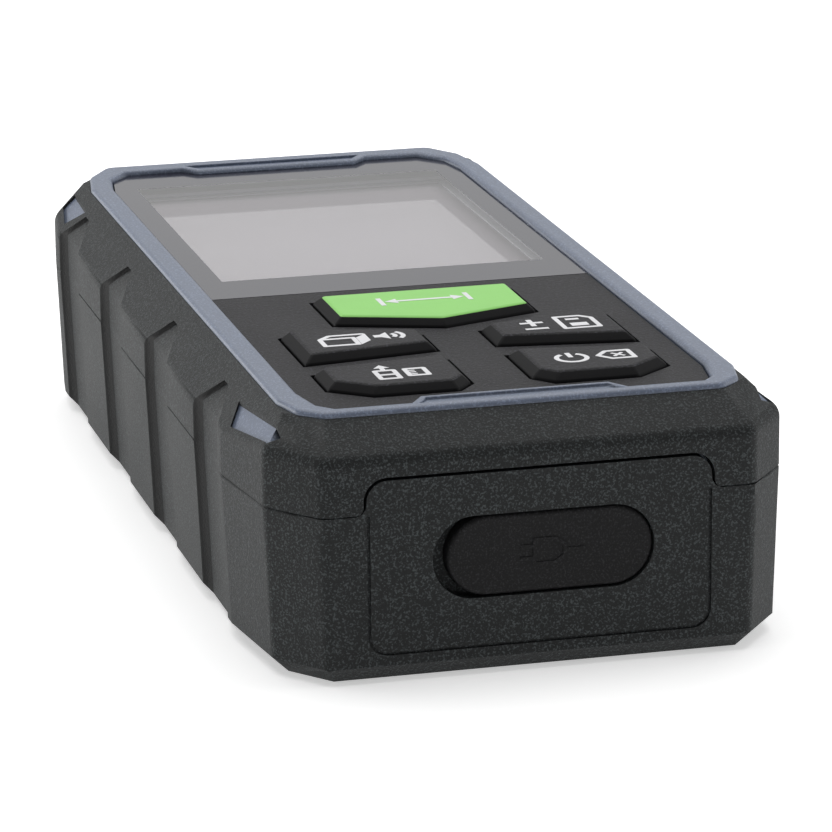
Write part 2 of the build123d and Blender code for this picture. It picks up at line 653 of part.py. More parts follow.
def receiver_lens():
    """The plano-convex lens that gathers the returning light, its bulge towards the target."""
    edge = along_y(RECEIVER_X, OPTIC_Z, LENS_R, LENS_Y, LENS_Y + LENS_EDGE)
    radius = (LENS_R**2 + LENS_BULGE**2) / (2 * LENS_BULGE)
    middle = LENS_Y + LENS_EDGE + LENS_BULGE - radius
    ball = Pos(RECEIVER_X, middle, OPTIC_Z) * Rot(-90, 0, 0) * Sphere(radius)
    front = along_y(RECEIVER_X, OPTIC_Z, LENS_R, LENS_Y + LENS_EDGE, LENS_Y + LENS_EDGE + LENS_BULGE)
    return edge + (front & ball)


def lens_retainer():
    """The ring that holds the receiver lens in the chassis."""
    far = LENS_Y + LENS_EDGE + LENS_BULGE + RETAINER_THICK
    ring = along_y(RECEIVER_X, OPTIC_Z, RETAINER_R, LENS_Y + LENS_EDGE, far)
    return ring - along_y(RECEIVER_X, OPTIC_Z, LENS_R - 0.4, LENS_Y + LENS_EDGE - 1, far) - receiver_lens()


def laser_barrel():
    """The metal tube that holds the laser diode and its lens."""
    near, far = BARREL_Y
    barrel = along_y(LASER_X, OPTIC_Z, BARREL_R, near, far)
    barrel -= along_y(LASER_X, OPTIC_Z, COLLIMATOR_R - 0.6, near, far)
    barrel -= along_y(LASER_X, OPTIC_Z, DIODE_R, near, near + DIODE_LENGTH)
    return barrel - along_y(LASER_X, OPTIC_Z, COLLIMATOR_R, far - COLLIMATOR_THICK - 0.5, far)


def laser_diode():
    """The laser diode's can."""
    near = BARREL_Y[0]
    can = along_y(LASER_X, OPTIC_Z, DIODE_R, near, near + 1.0)
    return can + along_y(LASER_X, OPTIC_Z, COLLIMATOR_R - 0.8, near + 1.0, near + DIODE_LENGTH)


def collimator_lens():
    """The small lens at the front of the laser barrel."""
    far = BARREL_Y[1] - 0.5
    return along_y(LASER_X, OPTIC_Z, COLLIMATOR_R, far - COLLIMATOR_THICK, far)


def receiver_board():
    """The receiver's circuit board, at the back of the chassis."""
    return block((-16.5, 16.5), RECEIVER_BOARD_Y, (4.8, 16.2))


def light_sensor():
    """The light sensor's can, on the receiver board."""
    near = RECEIVER_BOARD_Y[1]
    return along_y(RECEIVER_X, OPTIC_Z, SENSOR_R, near, near + SENSOR_LENGTH)


def front_panel():
    """The dark panel at the laser end, with a small hole for the beam and a large one for its return."""
    middle = sum(FRONT_Z) / 2
    plate = Pos(0, middle) * RectangleRounded(2 * FRONT_HALF, FRONT_Z[1] - FRONT_Z[0], FRONT_ROUND - 0.1)
    near = END_Y - FRONT_DEEP
    panel = end_wall(plate, near, near + FRONT_THICK)
    panel -= along_y(LASER_X, OPTIC_Z, EMITTER_R, near, END_Y)
    return panel - along_y(RECEIVER_X, OPTIC_Z, APERTURE_R, near, END_Y)


def emitter_window():
    """The glass disc in the beam's hole."""
    near = END_Y - FRONT_DEEP
    return along_y(LASER_X, OPTIC_Z, EMITTER_R, near + 0.2, near + 0.9)


def receiver_window():
    """The clear disc in the returning light's hole."""
    near = END_Y - FRONT_DEEP
    return along_y(RECEIVER_X, OPTIC_Z, APERTURE_R, near + 0.2, near + 0.9)


# ================================================================ fixings and label
def screw(x, y, head_low, tip, head_up):
    """A screw: a round head with a cross recess, and a shank to its tip. head_up is the way the head faces."""
    seat = head_low if head_up else head_low + SCREW_HEAD
    head = rod(x, y, SCREW_HEAD_R if not head_up else 1.7, head_low, head_low + SCREW_HEAD)
    shank = rod(x, y, SCREW_R * 0.8 if abs(tip - seat) < 6 else SCREW_R, *sorted((seat, tip)))
    mark = head_low + SCREW_HEAD if head_up else head_low
    cross = Pos(x, y, mark) * (Box(2.0, 0.5, 1.4) + Box(0.5, 2.0, 1.4))
    return head + shank - cross


def case_screws():
    """The four long screws that close the case, their heads sunk in its underside."""
    low = SCREW_SEAT - SCREW_HEAD
    return Compound(children=[screw(x, y, low, DECK_LOW - 1.0, False) for x, y in CASE_SCREWS])


def board_screws():
    """The short screws that hold the main board up to the frame's posts."""
    low = BOARD_LOW - SCREW_HEAD
    return Compound(children=[screw(x, y, low, BOARD_TOP + 3.0, False) for x, y in BOARD_SCREWS])


def chassis_screws():
    """The screws that hold the optics chassis down on its bosses."""
    return Compound(children=[screw(x, y, CHASSIS_SEAT_Z, 1.4, True) for x, y in CHASSIS_SCREWS])


def label_plate():
    """A blank label in its recess under the case."""
    plate = Pos(0, LABEL_Y) * RectangleRounded(LABEL_SIZE[0] - 0.3, LABEL_SIZE[1] - 0.3, 1.8)
    return raised(plate, LABEL_DEEP - LABEL_THICK, LABEL_DEEP)


# ================================================================ writing the parts
PARTS = {
    "lower_shell": lower_shell,
    "case_seal": case_seal,
    "top_armour": top_armour,
    "top_frame": top_frame,
    "display_lens": display_lens,
    "lens_gasket": lens_gasket,
    "keypad_plate": keypad_plate,
    "display_panel": display_panel,
    "backlight": backlight,
    "display_holder": display_holder,
    "display_flex": display_flex,
    "key_mat": key_mat,
    "tact_switches": tact_switches,
    "main_board": main_board,
    "board_chips": board_chips,
    "buzzer": buzzer,
    "battery": battery,
    "battery_pad": battery_pad,
    "battery_lead_socket": battery_lead_socket,
    "charge_board": charge_board,
    "usb_socket": usb_socket,
    "port_cover": port_cover,
    "port_tether": port_tether,
    "optics_chassis": optics_chassis,
    "receiver_lens": receiver_lens,
    "lens_retainer": lens_retainer,
    "laser_barrel": laser_barrel,
    "laser_diode": laser_diode,
    "collimator_lens": collimator_lens,
    "receiver_board": receiver_board,
    "light_sensor": light_sensor,
    "front_panel": front_panel,
    "emitter_window": emitter_window,
    "receiver_window": receiver_window,
    "case_screws": case_screws,
    "board_screws": board_screws,
    "chassis_screws": chassis_screws,
    "label_plate": label_plate,
}

for node, make in PARTS.items():
    export_step(make(), f"parts/{node}.step")
for node, plan in key_plans().items():
    export_step(key(plan), f"parts/{node}.step")
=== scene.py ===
from math import atan2, cos, hypot, pi, radians, sin

import bmesh
import bpy
from bpy.props import FloatProperty, FloatVectorProperty, PointerProperty
from mathutils import Matrix, Quaternion, Vector


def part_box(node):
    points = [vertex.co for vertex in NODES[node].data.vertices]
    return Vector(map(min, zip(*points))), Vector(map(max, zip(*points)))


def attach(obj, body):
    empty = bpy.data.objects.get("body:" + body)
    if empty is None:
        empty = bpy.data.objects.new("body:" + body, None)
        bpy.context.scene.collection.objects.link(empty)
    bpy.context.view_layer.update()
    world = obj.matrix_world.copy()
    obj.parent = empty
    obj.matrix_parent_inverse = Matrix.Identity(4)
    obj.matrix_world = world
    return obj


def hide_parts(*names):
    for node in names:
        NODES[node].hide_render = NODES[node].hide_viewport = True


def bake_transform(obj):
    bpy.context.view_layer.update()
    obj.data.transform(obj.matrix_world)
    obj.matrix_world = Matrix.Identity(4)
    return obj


bl_info = {
    "name": "Laser distance meter",
    "version": (1, 0, 0),
    "blender": (4, 5, 0),
    "location": "View3D > Sidebar > Meter",
    "description": "Builds the finished looks of a pocket laser distance meter round its frame",
    "category": "Object",
}

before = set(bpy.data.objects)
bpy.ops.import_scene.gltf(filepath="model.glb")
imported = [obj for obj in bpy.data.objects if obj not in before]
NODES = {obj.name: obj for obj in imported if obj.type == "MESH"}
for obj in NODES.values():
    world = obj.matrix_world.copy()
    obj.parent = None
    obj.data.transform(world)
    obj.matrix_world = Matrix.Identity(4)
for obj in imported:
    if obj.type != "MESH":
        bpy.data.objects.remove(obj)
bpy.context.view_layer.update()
MM = 0.001

WELD = 0.002 * MM  # corners closer than this are one corner
FLAT_ANGLE = radians(1.0)  # faces that turn less than this are one flat face
CREASE_ANGLE = radians(24)  # edges sharper than this get rounded
SMOOTH_ANGLE = radians(32)
SOFT_ANGLE = radians(8)  # ridges flatter than this stay as they are
SHADED = "shaded"  # the attribute that marks the grip notches' walls for painted shade, near black
NOTCH_SIDE, NOTCH_REACH = 21 * MM, 47 * MM  # the notches lie beyond the first in x and within the second in y
NOTCH_FACING = -0.45  # how far a notch wall's normal turns to the near end before it gets painted shade
TAB_HALF = 10.3 * MM  # the frame's tabs are this wide to each side
WINDOW_SIDES, WINDOW_NEAR, WINDOW_FAR = 0.7 * MM, 1.05 * MM, 1.0 * MM  # the print's overlap on the display
TOP_REACH = 0.2 * MM  # a key's top finish goes this far down its walls; below it the walls get painted shade, near black


# ================================================================ shader maths
class Wire:
    """An output socket that Python's operators work on."""

    def __init__(self, finish, socket):
        self.finish, self.socket = finish, socket

    def math(self, operation, *values):
        inputs = dict(enumerate(values))
        return self.finish.node("ShaderNodeMath", {"operation": operation}, inputs)

    def __add__(self, other):
        return self.math("ADD", self, other)

    def __radd__(self, other):
        return self.math("ADD", other, self)

    def __sub__(self, other):
        return self.math("SUBTRACT", self, other)

    def __rsub__(self, other):
        return self.math("SUBTRACT", other, self)

    def __mul__(self, other):
        return self.math("MULTIPLY", self, other)

    def __rmul__(self, other):
        return self.math("MULTIPLY", other, self)

    def __gt__(self, other):
        return self.math("GREATER_THAN", self, other)

    def __lt__(self, other):
        return self.math("LESS_THAN", self, other)

    def __abs__(self):
        return self.math("ABSOLUTE", self)


class Finish:
    """A material in the making: nodes come from node(), and close() finishes it."""

    def __init__(self, name):
        self.material = bpy.data.materials.new(name)
        self.material.use_nodes = True
        self.tree = self.material.node_tree
        self.tree.nodes.clear()
        self.place = self.node("ShaderNodeTexCoord", output="Object")

    def node(self, kind, settings=None, inputs=None, output=0):
        """Adds a node, sets it up, fills or links its inputs and returns one output."""
        made = self.tree.nodes.new(kind)
        for name, value in (settings or {}).items():
            if name == "stops":
                self.set_stops(made.color_ramp, value)
            else:
                setattr(made, name, value)
        for name, value in (inputs or {}).items():
            if isinstance(value, Wire):
                self.tree.links.new(value.socket, made.inputs[name])
            else:
                made.inputs[name].default_value = value
        return Wire(self, made.outputs[output]) if made.outputs else None

    @staticmethod
    def set_stops(ramp, stops):
        """Gives a colour ramp its stops: a place and a brightness each."""
        while len(ramp.elements) < len(stops):
            ramp.elements.new(0.5)
        for element, (place, level) in zip(ramp.elements, stops):
            element.position = place
            element.color = (level, level, level, 1)

    def axes(self):
        """The object coordinates as three wires."""
        return [self.node("ShaderNodeSeparateXYZ", inputs={"Vector": self.place}, output=i) for i in range(3)]

    def noise(self, size, detail=2.0, roughness=0.5):
        """Noise with features of about this size in metres."""
        inputs = {"Vector": self.place, "Scale": 1 / size, "Detail": detail, "Roughness": roughness}
        return self.node("ShaderNodeTexNoise", inputs=inputs)

    def ramp(self, factor, *stops):
        """A brightness curve over a factor."""
        return self.node("ShaderNodeValToRGB", {"stops": stops}, {"Fac": factor})

    def blend(self, factor, low, high):
        """A colour between two, by a factor."""
        settings = {"data_type": "RGBA"}
        inputs = {0: factor, 6: low, 7: high}
        return self.node("ShaderNodeMix", settings, inputs, output=2)

    def bump(self, height, distance):
        """A normal that follows a height."""
        inputs = {"Height": height, "Distance": distance, "Strength": 1.0}
        return self.node("ShaderNodeBump", inputs=inputs)

    def principled(self, **inputs):
        """The plain shader, its inputs named with underscores for spaces."""
        named = {name.replace("_", " "): value for name, value in inputs.items()}
        return self.node("ShaderNodeBsdfPrincipled", inputs=named)

    def close(self, shader):
        """Joins the shader to the output and returns the material."""
        self.node("ShaderNodeOutputMaterial", inputs={"Surface": shader})
        return self.material


def rgba(colour, scale=1.0):
    """A colour with its alpha, made lighter or darker."""
    return (*[min(1.0, channel * scale) for channel in colour], 1.0)


# ================================================================ finishes
def grain_shader(finish, colour, roughness, size, depth, speck=0.5, tint=0.10, shaded=False, **more):
    """Moulded plastic or rubber with pale specks, a slow change of tone, and painted shade (near black) on
    the marked notch walls if asked.
    """
    grain = finish.noise(size, detail=3.0, roughness=0.6)
    pits = finish.noise(size * 2.6, detail=2.0)
    slow = finish.noise(14 * MM, detail=2.0)
    peaks = finish.ramp(grain, (0.52, 0.0), (0.63, 1.0))
    hollow, raised = (
        finish.blend(slow, rgba(colour, (1 - tint) * level), rgba(colour, (1 + tint) * level))
        for level in (1 - 0.5 * speck, 1 + 4.2 * speck)
    )
    rough = roughness + (grain - 0.5) * 0.18 + (slow - 0.5) * 0.10
    normal = finish.bump(grain + pits * 0.8, depth)
    tone = finish.blend(peaks, hollow, raised)
    # Painted shade: the marked notch walls turn near black, standing in for the shade they face into.
    if shaded:
        mark = finish.node("ShaderNodeAttribute", {"attribute_name": SHADED}, output="Fac")
        tone = finish.blend(mark, tone, rgba(colour, 0.06))
    return finish.principled(Base_Color=tone, Roughness=rough, Normal=normal, **more)


def grained(name, *looks, **more):
    """A material that is grained all over."""
    finish = Finish(name)
    return finish.close(grain_shader(finish, *looks, **more))


def satin(name, colour, roughness, metallic=0.0, **more):
    """A plain smooth surface with a faint unevenness and fine scuffs."""
    finish = Finish(name)
    slow = finish.noise(6 * MM, detail=3.0)
    fine = finish.noise(0.35 * MM, detail=2.0)
    tone = finish.blend(slow, rgba(colour, 0.9), rgba(colour, 1.1))
    rough = roughness + (slow - 0.5) * 0.12 + (fine - 0.5) * 0.06
    normal = finish.bump(fine, 0.006 * MM)
    shader = finish.principled(Base_Color=tone, Roughness=rough, Metallic=metallic, Normal=normal, **more)
    return finish.close(shader)


# ================================================================ making pieces
def finish_node(node, material):
    """Gives a CAD node a material."""
    for place in NODES[node].material_slots:
        place.material = material


def new_piece(name, bm, material):
    """Makes an object of a bmesh, smooth but for its creases."""
    mesh = bpy.data.meshes.new(name)
    bm.to_mesh(mesh)
    bm.free()
    mesh.polygons.foreach_set("use_smooth", [True] * len(mesh.polygons))
    mesh.set_sharp_from_angle(angle=SMOOTH_ANGLE)
    piece = bpy.data.objects.new(name, mesh)
    bpy.context.scene.collection.objects.link(piece)
    mesh.materials.append(material)
    return piece


def add_piece(name, bm, material, body, replaced=(), rounding=0.0, segments=3):
    """Makes a piece with rounded edges if asked, ties it to its body and hides the nodes it replaces."""
    piece = new_piece(name, bm, material)
    if rounding:
        rounded = piece.modifiers.new("rounded_edges", "BEVEL")
        rounded.limit_method = "WEIGHT"
        rounded.width = rounding
        rounded.segments = segments
        rounded.use_clamp_overlap = False
    even = piece.modifiers.new("even_shading", "WEIGHTED_NORMAL")
    even.keep_sharp = True
    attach(piece, body)
    if replaced:
        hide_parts(*replaced)
    return piece


def merged_copy(node):
    """A CAD node's mesh with its corners joined and each flat face made whole."""
    bm = bmesh.new()
    bm.from_mesh(NODES[node].data)
    bmesh.ops.remove_doubles(bm, verts=bm.verts, dist=WELD)
    settings = {"angle_limit": FLAT_ANGLE, "verts": bm.verts, "edges": bm.edges, "delimit": {"NORMAL"}}
    bmesh.ops.dissolve_limit(bm, **settings)
    return bm


def weigh_edges(bm, width_of, widest):
    """Gives each crease its share of the widest rounding."""
    weights = bm.edges.layers.float.new("bevel_weight_edge")
    for edge in bm.edges:
        if edge.is_manifold and edge.calc_face_angle() > SOFT_ANGLE:
            edge[weights] = min(1.0, width_of(edge) / widest)


def round_edges(bm, radius, segments, chosen=lambda edge: True, angle=CREASE_ANGLE):
    """Rounds the sharp edges that are chosen."""
    sharp = [e for e in bm.edges if e.is_manifold and e.calc_face_angle() > angle and chosen(e)]
    bmesh.ops.bevel(
        bm, geom=sharp, offset=radius, offset_type="OFFSET", affect="EDGES", segments=segments,
        profile=0.5, material=-1, clamp_overlap=True,
    )


def middle(edge):
    """An edge's middle."""
    return (edge.verts[0].co + edge.verts[1].co) / 2


class Mark:
    """Flat printed or embossed shapes, drawn in millimetres on a plane, then given a thickness."""

    STEP = 0.0012  # each shape lies this far under the one before, so that no two share a surface

    def __init__(self, stroke):
        self.bm = bmesh.new()
        self.stroke = stroke
        self.level = 0.0

    def next_level(self):
        """The height of the next shape."""
        self.level -= self.STEP
        return self.level

    def bar(self, start, end, width=None):
        """A straight stroke."""
        (x0, y0), (x1, y1) = start, end
        place = Matrix.Translation(((x0 + x1) / 2, (y0 + y1) / 2, self.next_level()))
        turn = Matrix.Rotation(atan2(y1 - y0, x1 - x0), 4, "Z")
        stretch = Matrix.Diagonal((hypot(x1 - x0, y1 - y0), width or self.stroke, 1, 1))
        bmesh.ops.create_grid(self.bm, x_segments=1, y_segments=1, size=0.5, matrix=place @ turn @ stretch)

    def path(self, *points):
        """Straight strokes from point to point, with round joints."""
        for start, end in zip(points, points[1:]):
            self.bar(start, end)
        for point in points:
            self.dot(point, self.stroke / 2)

    def dot(self, centre, radius):
        """A filled disc."""
        place = Matrix.Translation((*centre, self.next_level()))
        bmesh.ops.create_circle(self.bm, cap_ends=True, radius=radius, segments=16, matrix=place)

    def patch(self, *corners):
        """A filled outline."""
        level = self.next_level()
        self.bm.faces.new([self.bm.verts.new((x, y, level)) for x, y in corners])

    def arc(self, centre, radius, start, sweep):
        """A curved stroke, its angles in degrees."""
        inner, outer = radius - self.stroke / 2, radius + self.stroke / 2
        turn, level = radians(start), self.next_level()
        ends = [
            self.bm.verts.new((centre[0] + r * cos(turn), centre[1] + r * sin(turn), level))
            for r in (inner, outer)
        ]
        steps = max(4, round(abs(sweep) / 12))
        bmesh.ops.spin(
            self.bm, geom=ends + [self.bm.edges.new(ends)], cent=(*centre, 0), axis=(0, 0, 1),
            angle=radians(sweep), steps=steps, use_merge=sweep == 360,
        )

    def solid(self, thickness, place):
        """The shapes with a thickness in millimetres, moved to their place."""
        made = bmesh.ops.extrude_face_region(self.bm, geom=self.bm.faces[:])["geom"]
        raised = [v for v in made if isinstance(v, bmesh.types.BMVert)]
        bmesh.ops.translate(self.bm, verts=raised, vec=(0, 0, thickness))
        bmesh.ops.recalc_face_normals(self.bm, faces=self.bm.faces)
        bmesh.ops.transform(self.bm, matrix=place @ Matrix.Scale(MM, 4), verts=self.bm.verts)
        return self.bm


# ================================================================ settings
def length(name, text, value):
    """A length in metres as a property."""
    return FloatProperty(name=name, description=text, default=value, unit="LENGTH", precision=5)


def colour(name, text, value):
    """A colour as a property."""
    return FloatVectorProperty(
        name=name, description=text, default=value, subtype="COLOR", size=3, min=0, max=1
    )


class CaseSettings(bpy.types.PropertyGroup):
    """Sizes and colours of the case."""

    rim: length("Rims", "Width of the rounding at the tab grooves", 0.14 * MM)
    ring: length("Ring", "Width of the rounding along the raised ring", 0.6 * MM)
    armour_colour: colour("Armour", "Colour of the soft upper half", (0.0130, 0.0150, 0.0155))
    shell_colour: colour("Lower shell", "Colour of the lower half", (0.0125, 0.0145, 0.0150))
    frame_colour: colour("Frame", "Colour of the raised frame", (0.140, 0.168, 0.232))


class FaceSettings(bpy.types.PropertyGroup):
    """Sizes and colours of the face."""

    key_radius: length("Key radius", "Rounding of the keys' edges", 0.22 * MM)
    print_height: length("Print height", "How far the icons stand above the keys", 0.03 * MM)
    stroke: length("Icon stroke", "Width of the icons' lines", 0.50 * MM)
    green: colour("Measuring key", "Colour of the measuring key's top", (0.28, 0.69, 0.15))
    key_colour: colour("Keys", "Colour of the dark keys", (0.0090, 0.0087, 0.0112))
    plate_colour: colour("Keypad plate", "Colour of the plate round the keys", (0.0085, 0.0082, 0.0105))
    mask_colour: colour("Lens border", "Colour printed round the display", (0.024, 0.024, 0.037))
    display_colour: colour("Display", "Colour of the unlit display", (0.33, 0.30, 0.32))
    print_colour: colour("Icons", "Colour of the printed icons", (0.80, 0.80, 0.82))


class StageSettings(bpy.types.PropertyGroup):
    """The floor, the lights and the camera."""

    floor_width: length("Floor", "Width of the floor", 6.0)
    lens: FloatProperty(name="Lens", description="Camera's focal length in millimetres", default=204.5)
    key_light: FloatProperty(name="Side light", description="Power of the light on the left", default=4.8)


# ================================================================ case
def frame_widths(settings):
    """How wide each edge of the frame is rounded: narrow at the tabs and the near end, wide elsewhere."""
    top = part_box("top_frame")[1].z
    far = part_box("display_lens")[1].y
    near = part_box("keypad_plate")[0].y

    def width(edge):
        place = middle(edge)
        if place.z < top - WELD or edge.calc_face_angle() < CREASE_ANGLE:
            return 0.0
        at_tab = abs(place.x) < TAB_HALF and not near + 2 * MM < place.y < far - 1 * MM
        return settings.rim if at_tab or place.y < near else settings.ring

    return width


def mark_notch_shade(bm):
    """Marks the walls of the grip notches, which face the near end along the two sides, for painted shade."""
    bm.normal_update()
    shaded = bm.faces.layers.float.new(SHADED)
    for face in bm.faces:
        place = face.calc_center_median()
        # a face that faces the near end within the notch zone gets painted shade
        face[shaded] = float(
            face.normal.y < NOTCH_FACING and abs(place.x) > NOTCH_SIDE and abs(place.y) < NOTCH_REACH
        )


class METER_OT_case(bpy.types.Operator):
    """Make the two halves of the case and the raised frame"""

    bl_idname = "meter.case"
    bl_label = "Case"

    def execute(self, context):
        settings = context.scene.meter_case
        # shaded asks for painted shade, near black, on the marked notch walls
        dull = {"Specular_IOR_Level": 0.3, "shaded": True}
        armour = grained("armour_rubber", settings.armour_colour, 0.66, 0.21 * MM, 0.06 * MM, 0.8, **dull)
        shell = grained("shell_plastic", settings.shell_colour, 0.64, 0.21 * MM, 0.06 * MM, 0.8, **dull)
        slate = grained("frame_slate", settings.frame_colour, 0.42, 0.24 * MM, 0.022 * MM, speck=0.12)
        for name, slot, material, replaced in [
            ("armour", "armour_rubber", armour, "top_armour"),
            ("lower_case", "shell_plastic", shell, "lower_shell"),
            ("face_frame", "frame_slate", slate, "top_frame"),
        ]:
            bm = merged_copy(replaced)
            rounding = 0.0
            if replaced == "top_frame":
                rounding = settings.ring
                weigh_edges(bm, frame_widths(settings), rounding)
            else:
                mark_notch_shade(bm)
            add_piece(name, bm, material, "case", [replaced], rounding=rounding, segments=4)
        return {"FINISHED"}


class METER_OT_face(bpy.types.Operator):
    """Make the lens, the display and the keypad plate"""

    bl_idname = "meter.face"
    bl_label = "Face"

    def execute(self, context):
        settings = context.scene.meter_face
        plate = grained(
            "keypad_plastic", settings.plate_colour, 0.60, 0.26 * MM, 0.07 * MM, 0.9, Specular_IOR_Level=0.25
        )
        bm = merged_copy("keypad_plate")
        low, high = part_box("keypad_plate")
        side, far = high.x - 2 * MM, high.y - 0.6 * MM

        def in_slot(edge):
            place = middle(edge)
            return abs(place.x) < side and low.y + 2 * MM < place.y < far

        round_edges(bm, 0.12 * MM, 2, in_slot)
        add_piece("keypad_bezel", bm, plate, "case", ["keypad_plate"])
        finish_node("display_lens", lens_print(settings))
        finish_node("display_panel", display_glass(settings))
        finish_node("display_holder", satin("light_guide", (0.85, 0.86, 0.90), 0.5))
        return {"FINISHED"}


def lens_print(settings):
    """Clear plastic with a dark printed border round the display's window."""
    finish = Finish("lens_clear")
    x, y, z = finish.axes()
    low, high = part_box("display_panel")
    across = abs(x) < high.x - WINDOW_SIDES
    along = (y > low.y + WINDOW_NEAR) * (y < high.y - WINDOW_FAR)
    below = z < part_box("display_lens")[1].z - 0.05 * MM
    clear_part = below.math("MAXIMUM", below, across * along)
    shade = settings.mask_colour
    tone = finish.blend(finish.noise(20 * MM), rgba(shade, 0.94), rgba(shade, 1.06))
    border = finish.principled(Base_Color=tone, Roughness=0.09, IOR=1.49)
    clear = finish.node("ShaderNodeBsdfTransparent", inputs={"Color": (0.97, 0.97, 0.975, 1)})
    gloss = finish.node("ShaderNodeBsdfGlossy", inputs={"Color": (1, 1, 1, 1), "Roughness": 0.03})
    facing = finish.node("ShaderNodeLayerWeight", inputs={"Blend": 0.5}, output="Facing")
    sheen = (facing.math("POWER", facing, 5.0) * 0.96 + 0.04) * (1 - below)
    pane = finish.node("ShaderNodeMixShader", inputs={0: sheen, 1: clear, 2: gloss})
    return finish.close(finish.node("ShaderNodeMixShader", inputs={0: clear_part, 1: border, 2: pane}))


def display_glass(settings):
    """The unlit display: a pale reflector behind smooth glass."""
    finish = Finish("display_glass")
    fine = finish.noise(0.12 * MM, detail=1.0)
    slow = finish.noise(18 * MM, detail=1.0)
    base = settings.display_colour
    tone = finish.blend(slow * 0.7 + fine * 0.3, rgba(base, 0.96), rgba(base, 1.04))
    shader = finish.principled(Base_Color=tone, Roughness=0.06, IOR=1.5)
    return finish.close(shader)


# ================================================================ keys
class METER_OT_keys(bpy.types.Operator):
    """Make the five keys and the icons printed on them"""

    bl_idname = "meter.keys"
    bl_label = "Keys"

    def execute(self, context):
        settings = context.scene.meter_face
        dark, green = dark_key(settings), green_key(settings)
        ink = satin("icon_ink", settings.print_colour, 0.45)
        icons = {
            "measure_key": distance_icon,
            "volume_key": volume_icons,
            "memory_key": memory_icons,
            "unit_key": unit_icons,
            "power_key": power_icons,
        }
        for node, draw in icons.items():
            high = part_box(node)[1]
            bm = merged_copy(node)
            top = [v for v in bm.verts if v.co.z > high.z - WELD]
            bmesh.ops.translate(bm, verts=top, vec=(0, 0, -settings.print_height))
            round_edges(bm, settings.key_radius, 3)
            material, slot = (green, "key_green") if node == "measure_key" else (dark, "key_dark")
            add_piece(node + "_cap", bm, material, node, [node])
            mark = Mark(settings.stroke / MM)
            draw(mark)
            sunk = 2 * settings.print_height
            printed = mark.solid(sunk / MM, Matrix.Translation((0, 0, high.z - sunk)))
            add_piece(node + "_icon", printed, ink, node)
        return {"FINISHED"}


def with_painted_wall_shade(finish, settings, face):
    """A key's material: its own finish on top, and painted shade on its walls, nearly black."""
    on_top = finish.axes()[2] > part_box("measure_key")[1].z - TOP_REACH
    grain = finish.noise(0.4 * MM)
    # Painted shade: below the top the walls get a near-black tone for the shade they stand in.
    tone = finish.blend(grain, rgba(settings.key_colour, 0.25), rgba(settings.key_colour, 0.45))
    wall_shade = finish.principled(Base_Color=tone, Roughness=0.62, Specular_IOR_Level=0.15)
    return finish.close(finish.node("ShaderNodeMixShader", inputs={0: on_top, 1: wall_shade, 2: face}))


def dark_key(settings):
    """The dark keys' finish, grained on top, with painted shade on the walls."""
    finish = Finish("key_dark")
    looks = (settings.key_colour, 0.60, 0.32 * MM, 0.06 * MM)
    return with_painted_wall_shade(finish, settings, grain_shader(finish, *looks, 0.65, Specular_IOR_Level=0.25))


def green_key(settings):
    """The measuring key's finish, green and smooth on top, with painted shade on the walls."""
    finish = Finish("key_green")
    slow, grain = finish.noise(5 * MM), finish.noise(0.3 * MM)
    tone = finish.blend(slow, rgba(settings.green, 0.96), rgba(settings.green, 1.04))
    rough = 0.42 + (grain - 0.5) * 0.08
    normal = finish.bump(grain, 0.006 * MM)
    face = finish.principled(Base_Color=tone, Roughness=rough, Normal=normal, Specular_IOR_Level=0.3)
    return with_painted_wall_shade(finish, settings, face)


def distance_icon(mark):
    """A double arrow between two bars: the sign for a distance."""
    y, reach, tip, tall = -16.0, 4.6, 1.3, 1.5
    for side in (-1, 1):
        mark.bar((side * reach, y - tall), (side * reach, y + tall))
        point, tail = side * (reach - 0.4), side * (reach - 0.4 - tip)
        mark.patch((point, y), (tail, y + 0.9), (tail, y - 0.9))
    mark.bar((-reach + tip, y), (reach - tip, y))


def volume_icons(mark):
    """A box for areas and volumes, and a loudspeaker."""
    left, low, wide, tall, lean = -14.2, -31.8, 3.4, 2.6, 1.2
    mark.path((left, low), (left + wide, low), (left + wide, low + tall), (left, low + tall), (left, low))
    mark.path((left, low + tall), (left + lean, low + tall + lean), (left + wide + lean, low + tall + lean))
    near, far = left + wide + 0.3, left + wide + lean + 0.3
    mark.patch((near, low - 0.1), (far, low + lean), (far, low + tall + lean), (near, low + tall))
    x, y = -8.3, -29.3
    mark.patch((x - 0.4, y - 0.45), (x + 0.3, y - 0.45), (x + 0.3, y + 0.45), (x - 0.4, y + 0.45))
    mark.patch((x + 0.3, y - 0.45), (x + 1.1, y - 1.3), (x + 1.1, y + 1.3), (x + 0.3, y + 0.45))
    mark.arc((x + 0.9, y), 0.9, -45, 90)
    mark.arc((x + 0.9, y), 1.7, -45, 90)


def memory_icons(mark):
    """Plus and minus, and a memory card."""
    x, y = 7.8, -28.7
    mark.bar((x - 1.2, y), (x + 1.2, y), 0.55)
    mark.bar((x, y - 1.3), (x, y + 1.3), 0.55)
    mark.bar((x - 1.2, y - 2.3), (x + 1.2, y - 2.3), 0.55)
    left, low, right, high = 10.6, -31.7, 14.2, -27.1
    mark.path((left, low), (right, low), (right, high - 1.0), (right - 1.0, high), (left, high), (left, low))
    mark.bar((left + 0.9, low + 1.4), (right - 0.9, low + 1.4), 1.2)
    mark.bar((left + 0.9, high - 1.1), (right - 1.3, high - 1.1), 0.6)


